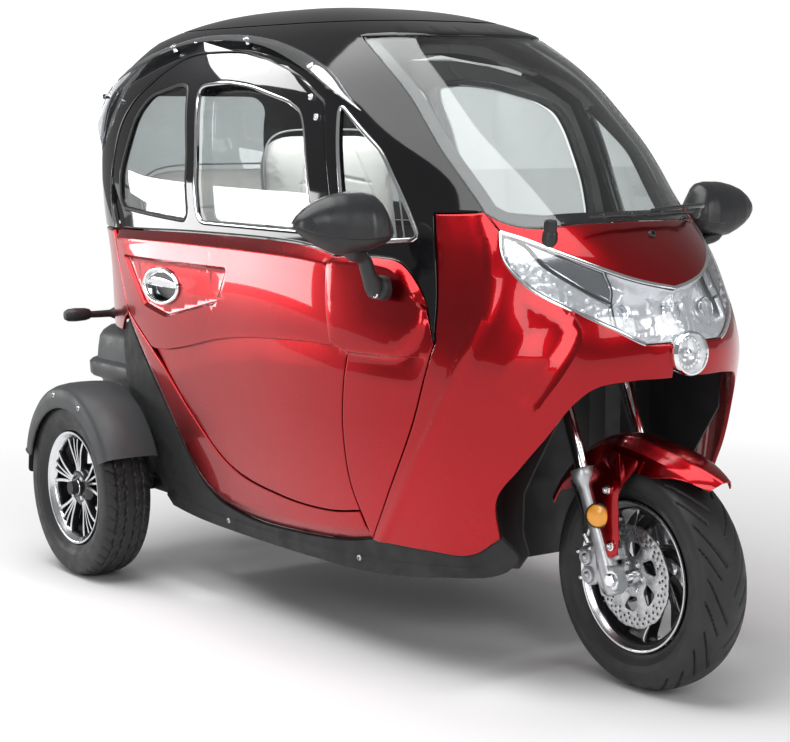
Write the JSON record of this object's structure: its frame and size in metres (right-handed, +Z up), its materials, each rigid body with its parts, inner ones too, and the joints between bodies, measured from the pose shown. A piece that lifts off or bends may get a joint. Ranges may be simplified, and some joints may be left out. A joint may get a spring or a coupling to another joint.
{
  "type": "cabin mobility scooter",
  "caption": "Enclosed three-wheeled mobility scooter with a steered front wheel in a telescopic fork, hinged doors and sliding side windows.",
  "frame": {"origin": "centre of the box's footprint, on the ground under the three tyres", "axes": "+X forward, +Y to the rider's left, +Z up"},
  "size_m": [2.2714, 1.3294, 1.4945],
  "materials": {
    "red_paint": "gloss",
    "black_gloss": "gloss",
    "grey_plastic": "textured",
    "black_plastic": "satin",
    "window_glass": "clear",
    "lamp_lens": "clear",
    "lamp_silver": "mirror",
    "handle_chrome": "mirror",
    "frame_steel": "satin",
    "battery_case": "satin",
    "seat_leather": "satin",
    "tyre_rubber": "matt",
    "front_alloy": "machined",
    "rear_alloy": "gloss",
    "disc_steel": "brushed",
    "stanchion_chrome": "mirror",
    "grip_rubber": "matt",
    "lever_alloy": "satin",
    "cast_alloy": "cast"
  },
  "bodies": {
    "body": {"quarter_panel_R": "red_paint", "quarter_panel_L": "red_paint", "side_surround_R": "red_paint", "side_surround_L": "red_paint", "front_fairing_R": "red_paint", "front_fairing_L": "red_paint", "sill_R": "grey_plastic", "sill_L": "grey_plastic", "rear_panel": "red_paint", "nose_panel": "red_paint", "cab_shell": "black_gloss", "windscreen": "window_glass", "rear_window": "window_glass", "quarter_glass_R": "window_glass", "quarter_glass_L": "window_glass", "headlamp_lens": "lamp_lens", "headlamp_housing": "lamp_silver", "wheel_arch_liner": "black_plastic", "floor_pan": "black_plastic", "chassis_frame": "frame_steel", "rear_cover": "grey_plastic", "seat_base": "black_plastic", "battery_pack": "battery_case", "driver_seat": "seat_leather", "driver_backrest": "seat_leather", "rear_seat": "seat_leather", "rear_backrest": "seat_leather", "dashboard": "black_plastic"},
    "door_R": {"door_skin_R": "red_paint", "door_frame_R": "black_gloss", "door_rear_glass_R": "window_glass"},
    "handle_R": {"door_handle_R": "handle_chrome"},
    "window_R": {"door_window_R": "window_glass"},
    "mirror_R": {"mirror_R": "black_plastic"},
    "lever_R": {"brake_lever_R": "lever_alloy"},
    "rear_wheel_R": {"rear_tyre_R": "tyre_rubber", "rear_rim_R": "rear_alloy"},
    "door_L": {"door_skin_L": "red_paint", "door_frame_L": "black_gloss", "door_rear_glass_L": "window_glass"},
    "handle_L": {"door_handle_L": "handle_chrome"},
    "window_L": {"door_window_L": "window_glass"},
    "mirror_L": {"mirror_L": "black_plastic"},
    "lever_L": {"brake_lever_L": "lever_alloy"},
    "rear_wheel_L": {"rear_tyre_L": "tyre_rubber", "rear_rim_L": "rear_alloy"},
    "wiper": {"wiper_arm": "black_plastic"},
    "steering": {"fork_yoke": "stanchion_chrome", "handlebar": "black_plastic"},
    "throttle": {"throttle_grip": "grip_rubber"},
    "fork": {"fork_lowers": "cast_alloy", "brake_caliper": "cast_alloy", "front_mudguard": "red_paint"},
    "front_wheel": {"front_tyre": "tyre_rubber", "front_rim": "front_alloy", "brake_disc": "disc_steel"},
    "axle": {"rear_axle": "frame_steel", "rear_mudguard_R": "grey_plastic", "rear_mudguard_L": "grey_plastic"}
  },
  "joints": [
    {"name": "door_hinge_R", "type": "hinge", "parent": "body", "child": "door_R", "pos_m": [0.41824, -0.402, 0.555], "axis": [0, 0, 1], "range_deg": [0, 62]},
    {"name": "handle_pivot_R", "type": "hinge", "parent": "door_R", "child": "handle_R", "pos_m": [-0.45876, -0.461, 0.84], "axis": [-1, 0, 0], "range_deg": [0, 32], "stiffness_Nm_per_rad": 0.4},
    {"name": "window_slide_R", "type": "slide", "parent": "door_R", "child": "window_R", "axis": [-1, 0, 0], "range_m": [0, 0.18]},
    {"name": "mirror_fold_R", "type": "hinge", "parent": "body", "child": "mirror_R", "pos_m": [0.50324, -0.448, 0.866], "axis": [0, 0, 1], "range_deg": [-25, 25]},
    {"name": "lever_pull_R", "type": "hinge", "parent": "steering", "child": "lever_R", "pos_m": [0.5284, -0.162, 0.8968], "axis": [0, 0, -1], "range_deg": [0, 12], "stiffness_Nm_per_rad": 4},
    {"name": "rear_spin_R", "type": "hinge", "parent": "axle", "child": "rear_wheel_R", "pos_m": [-0.77176, -0.51, 0.238], "axis": [0, 1, 0], "continuous": true},
    {"name": "door_hinge_L", "type": "hinge", "parent": "body", "child": "door_L", "pos_m": [0.41824, 0.402, 0.555], "axis": [0, 0, -1], "range_deg": [0, 62]},
    {"name": "handle_pivot_L", "type": "hinge", "parent": "door_L", "child": "handle_L", "pos_m": [-0.45876, 0.461, 0.84], "axis": [1, 0, 0], "range_deg": [0, 32], "stiffness_Nm_per_rad": 0.4},
    {"name": "window_slide_L", "type": "slide", "parent": "door_L", "child": "window_L", "axis": [-1, 0, 0], "range_m": [0, 0.18]},
    {"name": "mirror_fold_L", "type": "hinge", "parent": "body", "child": "mirror_L", "pos_m": [0.50324, 0.448, 0.866], "axis": [0, 0, 1], "range_deg": [-25, 25]},
    {"name": "lever_pull_L", "type": "hinge", "parent": "steering", "child": "lever_L", "pos_m": [0.5284, 0.162, 0.8968], "axis": [0, 0, 1], "range_deg": [0, 12], "stiffness_Nm_per_rad": 4},
    {"name": "rear_spin_L", "type": "hinge", "parent": "axle", "child": "rear_wheel_L", "pos_m": [-0.77176, 0.51, 0.238], "axis": [0, 1, 0], "continuous": true},
    {"name": "wiper_sweep", "type": "hinge", "parent": "body", "child": "wiper", "pos_m": [0.73624, 0.265, 1.029], "axis": [-0.64, 0, -0.7684], "range_deg": [0, 70]},
    {"name": "steer", "type": "hinge", "parent": "body", "child": "steering", "pos_m": [0.68773, 0, 0.59984], "axis": [-0.4035, 0, 0.915], "range_deg": [-32, 32]},
    {"name": "throttle_twist", "type": "hinge", "parent": "steering", "child": "throttle", "pos_m": [0.5014, -0.24, 0.8968], "axis": [0, 1, 0], "range_deg": [0, 70], "stiffness_Nm_per_rad": 0.3},
    {"name": "fork_travel", "type": "slide", "parent": "steering", "child": "fork", "axis": [-0.4035, 0, 0.915], "range_m": [-0.02, 0.06], "stiffness_N_per_m": 20000, "springref_m": -0.02},
    {"name": "front_spin", "type": "hinge", "parent": "fork", "child": "front_wheel", "pos_m": [0.88574, 0, 0.25], "axis": [0, 1, 0], "continuous": true},
    {"name": "axle_swing", "type": "hinge", "parent": "body", "child": "axle", "pos_m": [-0.34176, 0, 0.224], "axis": [0, 1, 0], "range_deg": [-2.5, 3], "stiffness_Nm_per_rad": 11000, "springref_deg": -1.72}
  ]
}
